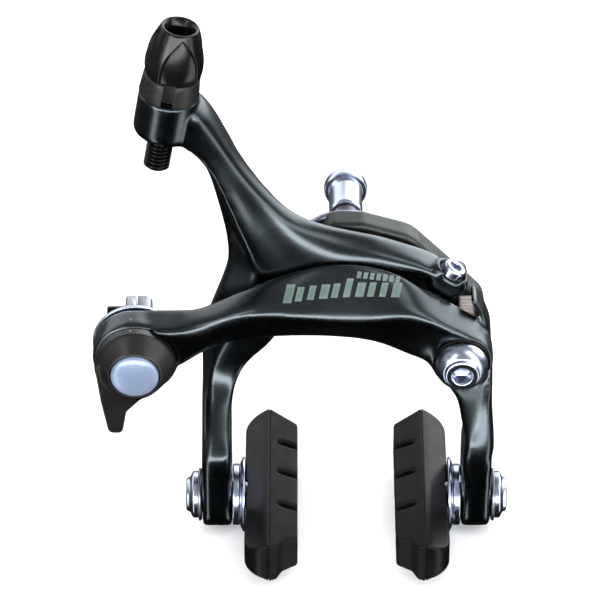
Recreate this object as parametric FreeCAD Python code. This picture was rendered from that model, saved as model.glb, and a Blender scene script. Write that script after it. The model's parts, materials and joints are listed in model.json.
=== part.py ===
import FreeCAD, Part

import math
import os

# Dual-pivot side-pull rim brake caliper, millimetres.
# Origin: axis of the mounting bolt, in the plane where the caliper seats on the frame.
# +Y runs back along the mounting bolt, +Z is up, +X is the side of the second pivot.

V = FreeCAD.Vector
REAR = V(0, 1, 0)
FRONT = V(0, -1, 0)

# ---- layers from back to front (Y) ----
SEAT_Y = 0.0
WASHER_Y = -3.0
BRACKET_FRONT_Y = -9.0
Y_ARM_REAR_Y = -9.6
Y_ARM_FRONT_Y = -18.0
C_ARM_REAR_Y = -18.5
HUB_FRONT_Y = -26.0

# ---- pivots (X, Z) ----
SIDE_X = 25.9
SIDE_Z = -11.2
PIVOT_R = 4.0
RUNNING_FIT = 0.04
BUSH_R = 5.2

# ---- mounting bolt and recessed nut ----
BOLT_R = 3.0
BOLT_END_Y = 23.0
BOLT_TIP = 0.5
BOLT_SHOULDER_R = 3.4
BOLT_STUB_R = 2.9
BOLT_THREAD_R = 2.7
NUT_BODY_R = 3.95
NUT_HEAD_R = 5.1
NUT_FRONT_Y = 16.6
NUT_LENGTH = 12.5
NUT_HEAD_LENGTH = 2.85

SIDE_THREAD_R = 3.5
SPRING_WIRE_R = 1.3
SPRING_R = 12.5
SPRING_START = math.radians(188)
SPRING_END = math.radians(8)

# ---- pad slots: pads sit at the long end of the reach ----
PAD_Y = -26.2
PAD_Z = -49.0
REACH_TRAVEL = 10.0
STUD_R = 3.0
SLOT_R = 3.1
LEG_IN = 26.4
LEG_OUT = 33.2
LEG_END_R = 7.2
LEG_REAR_Y = -19.2
LEG_FRONT_Y = -33.3
LEG_TOP_Z = -34.0
LEG_FRONT_R = 1.9

# ---- brake pads ----
PAD_FACE = 11.25
PAD_RIDGE = 17.8
PAD_BACK = 23.4
PAD_HALF = 25.9
PAD_TOP = 5.4
PAD_BOTTOM = -4.8
GROOVE_W = 1.7
GROOVE_DEPTH = 4.8
GROOVES = (21.0 - 8.6, 10.0 - 8.6, -2.0 - 8.6)

# ---- quick release ----
QR_X = -48.0
QR_Z = -11.2
QR_BOSS_R = 9.8
QR_BOSS_FRONT_Y = -25.2
QR_DISC_R = 9.3
QR_CAP_R = 5.5
QR_CAP_Y = -31.4
QR_SHAFT_R = 3.2
QR_CRANK = 2.3
QR_CRANK_START = math.radians(230)
CRANK_PIN_R = 1.5
CLAMP_X = -47.9
CLAMP_Y = -11.4
CLAMP_Z = -10.1
CLAMP_BOLT_R = 2.5

# ---- cable adjuster ----
ADJ_TILT = 9.33
ADJ_BASE = V(-42.8, -12.0, 33.3)
ADJ_DIR = V(math.sin(math.radians(ADJ_TILT)), 0, math.cos(math.radians(ADJ_TILT)))
ADJ_BOSS = (8.8, 19.4)
ADJ_BOSS_R = 6.7
ADJ_RING_TOP = 24.9
ADJ_KNOB_TOP = 37.0
THREAD_R = 3.0
CABLE_R = 1.1
COLLAR_GAP_ANGLE = -94.0
KNOB_FACET_ANGLE = -79.7
HOUSING_R = 2.6

# ---- centring screw, in the nose of the rear arm ----
SCREW_TOP = V(24.7, -15.0, 7.8)
SCREW_DIR = V(-0.557, 0, -0.8305)
SCREW_HEAD_R = 2.7
SCREW_R = 1.5
SCREW_LENGTH = 11.5
SCREW_GAP = 0.22


# ---- building blocks ----

def save(name, *solids):
    """Write the solids of one piece to its own file."""
    shape = solids[0] if len(solids) == 1 else Part.makeCompound(list(solids))
    os.makedirs("parts", exist_ok=True)
    shape.exportStep("parts/" + name + ".step")


def one(shape):
    """The single solid inside a boolean result."""
    solids = shape.Solids
    if len(solids) != 1:
        print("warning: expected one solid, found", len(solids), [round(s.Volume, 2) for s in solids])
    return max(solids, key=lambda s: s.Volume)


def rod(radius, start, end):
    """Cylinder between two points."""
    return Part.makeCylinder(radius, (end - start).Length, start, end - start)


def rod_y(radius, y0, y1, x=0.0, z=0.0):
    return rod(radius, V(x, y0, z), V(x, y1, z))


def tube_y(inner, outer, y0, y1, x=0.0, z=0.0):
    return one(rod_y(outer, y0, y1, x, z).cut(rod_y(inner, y0, y1, x, z)))


def corner_edges(corners, place):
    """Straight edges and arcs of a closed outline given as (a, b, corner radius)."""
    runs = []
    count = len(corners)
    for i, (a, b, radius) in enumerate(corners):
        here = V(a, b, 0)
        before = V(*corners[i - 1][:2], 0) - here
        after = V(*corners[(i + 1) % count][:2], 0) - here
        before.normalize()
        after.normalize()
        half = before.getAngle(after) / 2
        reach = radius / math.tan(half)
        middle = before + after
        middle.normalize()
        deep = radius / math.sin(half) - radius
        runs.append((here + before * reach, here + middle * deep, here + after * reach))
    edges = []
    for i, (start, mid, end) in enumerate(runs):
        arc = Part.Arc(place(start), place(mid), place(end))
        edges.append(arc.toShape())
        following = runs[(i + 1) % count][0]
        edges.append(Part.LineSegment(place(end), place(following)).toShape())
    return edges


def outline_wire(corners, place):
    return Part.Wire(corner_edges(corners, place))


def prism_y(corners, y0, y1):
    """Extrude an (x, z, radius) outline along Y."""
    wire = outline_wire(corners, lambda p: V(p.x, y0, p.y))
    return Part.Face(wire).extrude(V(0, y1 - y0, 0))


def prism_z(corners, z0, z1):
    """Extrude an (x, y, radius) outline along Z."""
    wire = outline_wire(corners, lambda p: V(p.x, p.y, z0))
    return Part.Face(wire).extrude(V(0, 0, z1 - z0))


def lathe(profile, base, direction):
    """Turn a closed (radius, height) outline about an axis."""
    points = [V(r, 0, h) for r, h in profile]
    wire = Part.makePolygon(points + [points[0]])
    solid = Part.Face(wire).revolve(V(0, 0, 0), V(0, 0, 1), 360)
    turn = FreeCAD.Rotation(V(0, 0, 1), direction)
    solid.Placement = FreeCAD.Placement(base, turn)
    return solid


def hexagon(across_flats, height, base, direction):
    """Hexagonal prism on an axis."""
    radius = across_flats / math.sqrt(3)
    points = [V(radius * math.cos(i * math.pi / 3), radius * math.sin(i * math.pi / 3), 0) for i in range(7)]
    solid = Part.Face(Part.makePolygon(points)).extrude(V(0, 0, height))
    turn = FreeCAD.Rotation(V(0, 0, 1), direction)
    solid.Placement = FreeCAD.Placement(base, turn)
    return solid


def soften(solid, radius, wanted):
    """Fillet the edges that pass the test, or leave the solid as it is."""
    edges = [e for e in solid.Edges if wanted(e)]
    try:
        rounded = solid.makeFillet(radius, edges)
        if rounded.isValid() and len(rounded.Solids) == 1:
            return rounded.Solids[0]
    except Part.OCCError:
        pass
    print("warning: an edge stays sharp")
    return solid


def at_y(y):
    return lambda e: abs(e.BoundBox.YMin - y) < 0.01 and abs(e.BoundBox.YMax - y) < 0.01


def mirror_x(solid):
    return solid.mirror(V(0, 0, 0), V(1, 0, 0))


def blade_section(inner, outer, corners):
    """Closed section of an arm.

    inner and outer are (x, z) points; a corner is (fraction from inner to outer, y, radius).
    """
    start = V(inner[0], 0, inner[1])
    across = V(outer[0], 0, outer[1]) - start
    length = across.Length
    across.normalize()
    shaped = [(part * length, y, radius) for part, y, radius in corners]
    return outline_wire(shaped, lambda p: start + across * p.x + REAR * p.y)


def leg_corners(front_radius):
    """Corners of the straight lower leg, from its inner to its outer side."""
    return [
        (0.0, LEG_REAR_Y, 0.8),
        (1.0, LEG_REAR_Y, 0.8),
        (1.0, LEG_FRONT_Y, front_radius),
        (0.0, LEG_FRONT_Y, front_radius),
    ]


def leg_block(side):
    """Straight lower leg with its round end and the slot for the pad bolt; side is -1 or +1."""
    top = V(side * LEG_IN, 0, LEG_TOP_Z)
    across = V(side, 0, 0)
    width = LEG_OUT - LEG_IN
    shaped = [(part * width, y, radius) for part, y, radius in leg_corners(LEG_FRONT_R)]
    wire = outline_wire(shaped, lambda p: top + across * p.x + REAR * p.y)
    block = Part.Face(wire).extrude(V(0, 0, PAD_Z - LEG_END_R - LEG_TOP_Z))
    far = 40.0
    end = rod(LEG_END_R + 0.001, V(0, PAD_Y, PAD_Z), V(side * far, PAD_Y, PAD_Z))
    upper = Part.makeBox(far, 30, LEG_TOP_Z - PAD_Z, V(min(0, side * far), PAD_Y - 15, PAD_Z))
    block = block.common(end.fuse(upper))
    slot_top = PAD_Z + REACH_TRAVEL
    block = block.cut(rod(SLOT_R, V(0, PAD_Y, PAD_Z), V(side * far, PAD_Y, PAD_Z)))
    block = block.cut(rod(SLOT_R, V(0, PAD_Y, slot_top), V(side * far, PAD_Y, slot_top)))
    channel = Part.makeBox(far, 2 * SLOT_R, REACH_TRAVEL, V(min(0, side * far), PAD_Y - SLOT_R, PAD_Z))
    return one(block.cut(channel))


# ---- front arm: cable side at -X, pivots at +X, carries the right pad ----

def front_arm_sections():
    # x, bottom z, rear top z, crease z, crease y, bottom front y, crease radius
    spans = [
        (-46.0, -14.6, -1.5, -2.4, -26.8, -26.6, 0.8),
        (-38.7, -13.2, -1.2, -2.0, -26.8, -26.2, 0.9),
        (-31.4, -9.2, 0.8, 0.2, -26.6, -25.6, 1.2),
        (-24.2, -7.0, 4.8, 2.9, -27.5, -24.4, 1.6),
        (-18.0, -6.9, 8.0, 3.1, -28.0, -23.2, 1.4),
        (-8.3, -6.9, 11.9, 1.8, -28.0, -22.6, 0.9),
        (0.7, -7.4, 13.0, 1.1, -28.0, -22.6, 0.8),
        (9.6, -9.9, 10.8, 2.1, -28.0, -22.8, 0.9),
    ]
    wires = []
    for x, low, top, crease_z, crease_y, low_y, crease_r in spans:
        height = top - low
        crease = (crease_z - low) / height
        corners = [
            (0.0, C_ARM_REAR_Y, 0.8),
            (1.0, C_ARM_REAR_Y, 0.5),
            (crease, crease_y, crease_r),
            (0.0, low_y, 1.6),
        ]
        wires.append(blade_section((x, low), (x, top), corners))
    # round the shoulder and down the leg: inner, outer, crease fraction, rear y, crease y, inner front y
    turns = [
        ((15.8, -12.7), (15.9, 7.0), 0.77, -18.5, -28.0, -23.4, 1.0),
        ((19.4, -14.0), (22.3, 2.0), 0.86, -18.5, -27.8, -24.0, 1.3),
        ((22.0, -17.6), (28.2, -2.2), 0.90, -18.5, -27.4, -24.6, 1.6),
        ((24.2, -21.2), (31.9, -7.4), 0.93, -18.6, -27.2, -25.4, 1.8),
        ((25.6, -24.3), (33.3, -14.6), 0.95, -18.8, -28.0, -26.8, 1.9),
        ((LEG_IN, -28.0), (LEG_OUT, -23.6), 1.0, -19.0, -31.0, -29.8, 2.0),
    ]
    for inner, outer, crease, rear_y, crease_y, low_y, crease_r in turns:
        corners = [
            (0.0, rear_y, 0.8),
            (1.0, rear_y, 0.8),
            (crease, crease_y, crease_r),
            (0.0, low_y, 1.8),
        ]
        wires.append(blade_section(inner, outer, corners))
    wires.append(blade_section((LEG_IN, LEG_TOP_Z), (LEG_OUT, LEG_TOP_Z), leg_corners(LEG_FRONT_R)))
    return wires


def horn():
    """Lip of the shoulder that stands up round the end of the rear arm's nose."""
    outline = [(28.2, -8.0, 0.5), (30.0, -4.4, 0.8), (29.3, -1.6, 0.8), (27.7, 0.8, 0.4), (28.6, 2.0, 0.4),
               (30.9, -1.5, 3.0), (32.6, -6.5, 3.0), (33.0, -9.6, 0.5)]
    return prism_y(outline, -12.4, C_ARM_REAR_Y - 1.3)


def front_arm():
    arm = Part.makeLoft(front_arm_sections(), True, False, False, 5)
    boss = rod_y(QR_BOSS_R, C_ARM_REAR_Y + 0.1, QR_BOSS_FRONT_Y, QR_X, QR_Z)
    hub = rod_y(7.3, C_ARM_REAR_Y - 1, HUB_FRONT_Y, SIDE_X, SIDE_Z)
    sleeve = rod_y(6.0, Y_ARM_REAR_Y, C_ARM_REAR_Y - 2, SIDE_X, SIDE_Z)
    tip = SCREW_TOP + SCREW_DIR * (SCREW_LENGTH + SCREW_GAP)
    along = V(-SCREW_DIR.z, 0, SCREW_DIR.x)
    upper = tip - along * 4.4
    lower = tip + along * 2.8
    ledge = prism_y([(13.6, -4.6, 0.8), (15.4, -8.4, 0.8), (21.6, -8.4, 0.8), (lower.x, lower.z, 0.5),
                     (upper.x, upper.z, 0.5)], -12.4, C_ARM_REAR_Y - 1.5)
    body = arm.fuse([boss, hub, sleeve, ledge, horn(), leg_block(1)])
    body = body.cut(rod_y(BUSH_R, 0, -40, SIDE_X, SIDE_Z))
    body = body.cut(rod_y(6.65, HUB_FRONT_Y, -40, SIDE_X, SIDE_Z))
    body = body.cut(rod_y(QR_DISC_R + 0.35, QR_BOSS_FRONT_Y, -40, QR_X, QR_Z))
    body = body.cut(rod_y(4.2, 0, -40, QR_X, QR_Z))
    top_of_slot = V(LEG_OUT + 0.02, PAD_Y, PAD_Z + REACH_TRAVEL)
    body = body.cut(rod(6.4, top_of_slot, top_of_slot + V(4, 0, 0)))
    body = body.removeSplitter()
    return one(body)


# ---- rear arm: adjuster at the top, left pad at the bottom, nose with the centring screw ----

def branch_section(inner, outer, rear, front, ridge, valley):
    """Section of the sculpted branch: flat back, sharp ridge, hollow, rounded top edge."""
    start = V(inner[0], 0, inner[1])
    across = V(outer[0], 0, outer[1]) - start
    length = across.Length
    across.normalize()

    def at(part, y):
        return start + across * (part * length) + REAR * y

    rest = 1.0 - ridge
    side = Part.BSplineCurve()
    side.interpolate([at(0.03, rear), at(0.0, rear - 1.6), at(ridge * 0.45, 0.5 * (rear + front)), at(ridge, front)])
    face = Part.BSplineCurve()
    face.interpolate([
        at(ridge, front),
        at(ridge + rest * 0.22, front + 0.15),
        at(ridge + rest * 0.48, front + valley),
        at(ridge + rest * 0.76, front + 0.9 * valley + 0.7),
        at(0.975, front + 0.45 * (rear - front) + 0.5 * valley),
        at(1.0, rear - 1.4),
        at(0.97, rear),
    ])
    back = Part.LineSegment(at(0.97, rear), at(0.03, rear))
    return Part.Wire([side.toShape(), face.toShape(), back.toShape()])


def branch():
    stations = [
        ((-40.4, 37.4), (-35.8, 52.4), -7.4, -16.9, 0.22, 0.2),
        ((-36.2, 37.6), (-30.3, 47.2), -7.8, -16.8, 0.20, 0.4),
        ((-32.5, 33.2), (-25.3, 37.5), -8.4, -16.9, 0.20, 0.9),
        ((-30.6, 28.0), (-20.6, 29.8), -9.0, -17.4, 0.22, 1.6),
        ((-28.8, 20.5), (-16.0, 23.8), -9.5, -17.8, 0.24, 2.0),
        ((-27.4, 12.5), (-11.8, 19.8), -9.7, -17.9, 0.27, 1.6),
        ((-26.0, 3.5), (-7.0, 17.3), -9.7, -17.9, 0.31, 1.0),
        ((-19.0, -5.0), (-2.6, 15.9), -9.7, -17.9, 0.40, 0.5),
        ((-9.0, -7.0), (1.6, 14.9), -9.7, -17.9, 0.50, 0.2),
        ((0.0, -5.4), (6.0, 13.9), -9.7, -17.9, 0.60, 0.15),
        ((7.0, -2.2), (10.6, 12.4), -9.7, -17.9, 0.62, 0.15),
        ((13.0, 1.4), (15.2, 10.6), -9.7, -17.9, 0.60, 0.15),
        ((18.4, 2.2), (19.8, 8.3), -9.7, -17.9, 0.58, 0.15),
        ((23.0, 1.6), (23.6, 5.8), -9.7, -17.9, 0.55, 0.15),
    ]
    wires = [branch_section(*station) for station in stations]
    return Part.makeLoft(wires, True, False, False, 5)


def left_leg():
    # inner, outer, rear y, front y, width of the slanted outer face, its depth
    stations = [
        ((-14.0, 12.0), (-26.9, 12.0), -9.8, -17.2, 5.0, 4.0),
        ((-14.0, 3.0), (-27.6, 5.0), -9.8, -17.5, 6.2, 4.0),
        ((-14.6, -6.0), (-29.4, -0.6), -9.8, -17.8, 6.4, 4.2),
        ((-17.6, -12.4), (-31.4, -6.4), -9.8, -17.9, 6.2, 4.6),
        ((-21.2, -16.2), (-32.9, -12.6), -9.9, -18.1, 4.8, 4.8),
        ((-24.2, -20.4), (-33.2, -18.6), -11.0, -18.6, 2.8, 4.4),
        ((-25.9, -24.6), (-33.2, -23.6), -13.8, -21.4, 2.2, 3.4),
        ((-LEG_IN, -29.5), (-LEG_OUT, -29.0), -17.0, -28.6, 2.0, 2.4),
        ((-LEG_IN, LEG_TOP_Z), (-LEG_OUT, LEG_TOP_Z), LEG_REAR_Y, LEG_FRONT_Y, 2.0, 2.0),
    ]
    wires = []
    for inner, outer, rear, front, slant, depth in stations:
        length = math.hypot(outer[0] - inner[0], outer[1] - inner[1])
        corners = [
            (0.0, rear, 0.8),
            (1.0, rear, 0.8),
            (1.0, front + depth, 1.0),
            (1.0 - slant / length, front, 0.9),
            (0.0, front, 1.3),
        ]
        wires.append(blade_section(inner, outer, corners))
    return Part.makeLoft(wires, True, False, False, 5)


def rear_arm():
    boss = rod(ADJ_BOSS_R, ADJ_BASE + ADJ_DIR * ADJ_BOSS[0], ADJ_BASE + ADJ_DIR * ADJ_BOSS[1])
    boss = soften(boss, 1.8, lambda e: e.CenterOfMass.z < 46 and e.Length > 30)
    tip = soften(rod_y(2.7, Y_ARM_REAR_Y - 0.2, Y_ARM_FRONT_Y, 24.6, 3.9), 0.6, lambda e: e.Length > 15)
    lug = rod(4.3, SCREW_TOP + SCREW_DIR * 1.2, SCREW_TOP + SCREW_DIR * 7.6)
    lug = lug.common(Part.makeBox(20, 8.4, 20, V(12, Y_ARM_FRONT_Y, -3)))
    hub = rod_y(8.9, Y_ARM_REAR_Y, Y_ARM_FRONT_Y)
    body = branch()
    for piece in (left_leg(), hub, boss, tip, lug, leg_block(-1)):
        body = body.fuse(piece)
    body = body.cut(rod(9.5, adjuster_at(ADJ_BOSS[1]), adjuster_at(ADJ_BOSS[1] + 8)))
    body = body.cut(rod_y(BUSH_R, 0, -40))
    body = body.cut(rod_y(6.6, -14.5, -40))
    body = body.cut(rod(THREAD_R + RUNNING_FIT, ADJ_BASE, ADJ_BASE + ADJ_DIR * 40))
    body = body.cut(rod(SCREW_R + RUNNING_FIT, SCREW_TOP, SCREW_TOP + SCREW_DIR * 20))
    body = body.cut(rod(3.4, SCREW_TOP + SCREW_DIR * 2.6, SCREW_TOP - SCREW_DIR * 8))
    body = body.removeSplitter()
    return one(body)


# ---- parts fixed to the frame: bracket, bolt, pivots, spring ----

def bracket():
    outline = [
        (-4.2, 15.0, 2.0),
        (3.6, 15.0, 4.0),
        (14.6, 11.6, 8.0),
        (31.2, -5.8, 6.0),
        (33.0, -18.6, 7.2),
        (20.0, -19.6, 5.5),
        (10.0, -10.4, 6.0),
        (-9.3, -9.3, 8.6),
        (-9.3, 2.6, 5.0),
    ]
    plate = prism_y(outline, BRACKET_FRONT_Y, WASHER_Y)
    plate = soften(plate, 0.9, at_y(BRACKET_FRONT_Y))
    plate = soften(plate, 0.6, at_y(WASHER_Y))
    plate = plate.cut(rod_y(PIVOT_R, 5, -20))
    plate = plate.cut(rod_y(SIDE_THREAD_R, 5, -20, SIDE_X, SIDE_Z))
    hook_x = SPRING_R * math.cos(SPRING_END)
    hook_z = SPRING_R * math.sin(SPRING_END)
    plate = plate.cut(rod_y(SPRING_WIRE_R, 5, -20, hook_x, hook_z))
    plate = plate.cut(rod_y(SPRING_WIRE_R + 0.4, 5, -4.6, hook_x, hook_z))
    return one(plate)


def mounting_bolt():
    """Journal for the rear arm, shoulder in the seating washer, and the M6 end for the frame."""
    front = -15.1
    profile = [
        (0, front), (PIVOT_R, front), (PIVOT_R, WASHER_Y), (BOLT_SHOULDER_R, WASHER_Y), (BOLT_SHOULDER_R, SEAT_Y),
        (BOLT_R, SEAT_Y), (BOLT_R, NUT_FRONT_Y - 0.1), (BOLT_THREAD_R, NUT_FRONT_Y - 0.1),
        (BOLT_THREAD_R, BOLT_END_Y - BOLT_TIP), (BOLT_THREAD_R - BOLT_TIP, BOLT_END_Y), (0, BOLT_END_Y),
    ]
    shank = lathe(profile, V(0, 0, 0), REAR)
    return one(shank.fuse(rod_y(BOLT_STUB_R, -14.0, -17.6)))


def seating_washer():
    """Thick washer with radial teeth on its rim side, against the frame."""
    washer = tube_y(BOLT_SHOULDER_R, 9.4, SEAT_Y, WASHER_Y)
    washer = soften(washer, 0.4, lambda e: e.Length > 50)
    for i in range(24):
        notch = Part.makeBox(2.2, 0.35, 0.9, V(7.6, -0.35, -0.45))
        notch.rotate(V(0, 0, 0), V(0, 1, 0), i * 15.0)
        washer = washer.cut(notch)
    return one(washer)


def pivot_nut():
    nut = hexagon(9.4, 2.6, V(0, -15.15, 0), FRONT)
    return one(nut.cut(rod_y(BOLT_STUB_R, 0, -30)))


def side_pivot_bolt():
    """Threaded into the bracket, with a smooth journal and a domed head with a hex socket."""
    base = -26.55
    body = rod_y(SIDE_THREAD_R, -3.6, -10, SIDE_X, SIDE_Z).fuse(rod_y(PIVOT_R, -9.05, base, SIDE_X, SIDE_Z))
    dome = [(0, 0), (6.0, 0), (6.1, 0.4), (5.95, 1.4), (5.6, 2.3), (5.0, 3.2), (4.3, 3.9), (3.9, 4.3), (3.75, 4.75),
            (3.2, 4.85), (0, 4.85)]
    head = lathe(dome, V(SIDE_X, base, SIDE_Z), FRONT)
    body = body.fuse(head)
    return one(body.cut(hexagon(4.0, 4.0, V(SIDE_X, base - 1.6, SIDE_Z), FRONT)))


def on_spring(angle, y):
    """Point at an angle round the arch of the return spring."""
    return V(SPRING_R * math.cos(angle), y, SPRING_R * math.sin(angle))


def return_spring():
    """Wire arch over the pivot; each end turns forward, one into the bracket."""
    y = -1.5
    bend = 2.6
    past = bend / SPRING_R
    half = 0.293 * bend
    first_end = on_spring(SPRING_START, -8.8)
    last_end = on_spring(SPRING_END, -8.7)
    first_turn = on_spring(SPRING_START, y - bend)
    last_turn = on_spring(SPRING_END, y - bend)
    arch_start = on_spring(SPRING_START - past, y)
    arch_end = on_spring(SPRING_END + past, y)
    edges = [
        Part.LineSegment(first_end, first_turn),
        Part.Arc(first_turn, on_spring(SPRING_START - half / SPRING_R, y - half), arch_start),
        Part.Arc(arch_start, V(0, y, SPRING_R), arch_end),
        Part.Arc(arch_end, on_spring(SPRING_END + half / SPRING_R, y - half), last_turn),
        Part.LineSegment(last_turn, last_end),
    ]
    path = Part.Wire([edge.toShape() for edge in edges])
    ring = Part.Wire(Part.makeCircle(SPRING_WIRE_R - 0.01, first_end, REAR))
    return path.makePipeShell([ring], True, False).Solids[0]


def recessed_nut():
    """Long nut that sits in the fork or seat-stay bridge, with a hex socket in its head."""
    neck = NUT_LENGTH - NUT_HEAD_LENGTH
    bore = BOLT_THREAD_R + RUNNING_FIT
    profile = [
        (bore, 0), (NUT_BODY_R - 0.4, 0), (NUT_BODY_R, 0.4), (NUT_BODY_R, neck), (NUT_HEAD_R, neck),
        (NUT_HEAD_R, NUT_LENGTH - 0.5), (NUT_HEAD_R - 0.5, NUT_LENGTH), (bore, NUT_LENGTH),
    ]
    nut = lathe(profile, V(0, NUT_FRONT_Y, 0), REAR)
    return one(nut.fuse(tube_y(2.0, 3.5, NUT_FRONT_Y + 9.0, NUT_FRONT_Y + 12.4)).cut(
        hexagon(5.0, 6.0, V(0, NUT_FRONT_Y + 8.5, 0), REAR)))


# ---- small parts on the arms ----

def spring_shoe():
    """Ribbed plastic shoe on the sleeve of the front arm, under the nose of the rear arm."""
    outline = [(25.6, -6.4, 0.3), (28.0, -7.4, 0.3), (29.4, -4.7, 0.4), (28.7, -2.9, 0.5), (25.6, -2.9, 0.5)]
    block = prism_y(outline, -11.6, -17.8)
    block = block.cut(rod_y(6.0, 0, -30, SIDE_X, SIDE_Z))
    for i in range(5):
        groove = Part.makeBox(6, 0.5, 0.5, V(24.0, -17.0 + i * 1.2, -3.25))
        block = block.cut(groove)
    return one(block)


def centring_screw():
    """Cap screw with a ball tip and a hex socket."""
    ball = SCREW_LENGTH - SCREW_R
    profile = [
        (0, 0), (SCREW_HEAD_R - 0.4, 0), (SCREW_HEAD_R, 0.4), (SCREW_HEAD_R, 2.5), (SCREW_R, 2.5),
        (SCREW_R, ball), (0, ball),
    ]
    screw = lathe(profile, SCREW_TOP, SCREW_DIR)
    screw = screw.fuse(Part.makeSphere(SCREW_R, SCREW_TOP + SCREW_DIR * ball))
    return one(screw.cut(hexagon(2.5, 1.8, SCREW_TOP - SCREW_DIR * 0.1, SCREW_DIR)))


def quick_release_lever():
    """Coned disc that carries the cap, cut off straight on one side, with a finger tail hanging from it."""
    rear = QR_BOSS_FRONT_Y - 0.2
    disc = lathe([(0, 0), (QR_DISC_R, 0), (QR_DISC_R, 2.4), (QR_DISC_R - 0.7, 3.2), (QR_CAP_R + 0.5, -QR_CAP_Y + rear),
                  (0, -QR_CAP_Y + rear)], V(QR_X, rear, QR_Z), FRONT)
    beyond = [(-34.5, -8.0, 0.5), (-52.0, -24.4, 0.5), (-45.2, -31.7, 0.5), (-27.7, -15.3, 0.5)]
    disc = disc.cut(prism_y(beyond, rear + 1, rear - 10))
    outline = [
        (-57.2, -10.0, 2.0),
        (-52.0, -8.0, 2.0),
        (-46.2, -18.6, 1.0),
        (-50.2, -22.9, 1.0),
        (-51.2, -28.9, 1.2),
        (-54.4, -28.9, 1.4),
        (-56.0, -20.0, 8.0),
    ]
    tail = prism_y(outline, rear - 0.8, rear - 3.9)
    body = one(disc.fuse(tail).removeSplitter())
    body = body.cut(rod_y(QR_CAP_R + 0.2, QR_CAP_Y + 1.0, -40, QR_X, QR_Z))
    return one(body.cut(rod_y(QR_SHAFT_R, 0, -40, QR_X, QR_Z)))


def quick_release_shaft():
    """Journal in the arm, crank disc and crank pin behind it."""
    pin_x = QR_X + QR_CRANK * math.cos(QR_CRANK_START)
    pin_z = QR_Z + QR_CRANK * math.sin(QR_CRANK_START)
    shaft = rod_y(QR_SHAFT_R, -17.0, QR_CAP_Y + 1.0, QR_X, QR_Z)
    shaft = shaft.fuse(rod_y(4.1, -17.5, -16.9, QR_X, QR_Z))
    return one(shaft.fuse(rod_y(CRANK_PIN_R, -16.95, -15.4, pin_x, pin_z)))


def quick_release_cap():
    dome = [(0, 0), (QR_CAP_R - 0.1, 0), (QR_CAP_R, 1.0), (5.2, 1.5), (4.4, 1.9), (3.0, 2.2), (1.5, 2.35), (0, 2.4)]
    return lathe(dome, V(QR_X, QR_CAP_Y + 1.0, QR_Z), FRONT)


def anchor_block():
    """Carrier behind the arm: slotted plate for the crank pin and the fixed jaw for the cable."""
    plate = Part.makeBox(8.2, 1.6, 12.4, V(-52.8, -16.8, -17.2))
    pin_z = QR_Z + QR_CRANK * math.sin(QR_CRANK_START)
    slot = Part.makeBox(4.5, 4, 3.3, V(-52.1, -18, pin_z - 1.65))
    jaw = Part.makeBox(3.4, 6.5, 10.1, V(-47.85, -15.3, -15.0))
    jaw = soften(jaw, 1.6, lambda e: e.CenterOfMass.x > -45 and e.CenterOfMass.z > -5.5 and e.Length > 6)
    block = plate.cut(slot).fuse(jaw)
    block = block.cut(rod(CLAMP_BOLT_R, V(-60, CLAMP_Y, CLAMP_Z), V(-40, CLAMP_Y, CLAMP_Z)))
    groove = rod(CABLE_R - 0.3, V(CLAMP_X, -14.2, -30), V(CLAMP_X, -14.2, 10))
    return one(block.cut(groove))


def clamp_plate():
    plate = Part.makeBox(2.5, 6.5, 10.1, V(-50.6, -15.1, -15.0))
    plate = soften(plate, 0.8, lambda e: e.CenterOfMass.x < -50 and e.Length > 6)
    plate = plate.cut(rod(CLAMP_BOLT_R, V(-60, CLAMP_Y, CLAMP_Z), V(-40, CLAMP_Y, CLAMP_Z)))
    groove = rod(CABLE_R - 0.3, V(-47.9, -14.2, -30), V(-47.9, -14.2, 10))
    return one(plate.cut(groove))


def clamp_bolt():
    head = rod(3.5, V(-50.6, CLAMP_Y, CLAMP_Z), V(-51.2, CLAMP_Y, CLAMP_Z))
    head = head.fuse(hexagon(6.4, 4.2, V(-50.6, CLAMP_Y, CLAMP_Z), V(-1, 0, 0)))
    shank = rod(CLAMP_BOLT_R, V(-51, CLAMP_Y, CLAMP_Z), V(-43.2, CLAMP_Y, CLAMP_Z))
    return one(head.fuse(shank))


def adjuster_at(height):
    return ADJ_BASE + ADJ_DIR * height


def adjuster_collar():
    """Ring between the arm and the knob; it lifts with the knob and doesn't turn."""
    ring = lathe([(3.3, 0), (6.7, 0), (6.75, 0.4), (6.3, 4.9), (6.0, 5.3), (3.3, 5.3)],
                 adjuster_at(ADJ_BOSS[1] + 0.1), ADJ_DIR)
    for i in range(3):
        gap = Part.makeBox(4.0, 2.6, 6.0, V(4.6, -1.3, -0.3))
        gap.rotate(V(0, 0, 0), V(0, 0, 1), COLLAR_GAP_ANGLE + 120.0 * i)
        gap.Placement = FreeCAD.Placement(adjuster_at(ADJ_BOSS[1] + 0.1), FreeCAD.Rotation(V(0, 0, 1), ADJ_DIR)) * (
            gap.Placement)
        ring = ring.cut(gap)
    return one(ring)


def adjuster_stem():
    """Hollow threaded stem the cable runs through."""
    length = 27.0
    profile = [(CABLE_R, 0), (THREAD_R - 0.5, 0), (THREAD_R, 0.5), (THREAD_R, length), (CABLE_R, length)]
    return lathe(profile, ADJ_BASE, ADJ_DIR)


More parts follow.
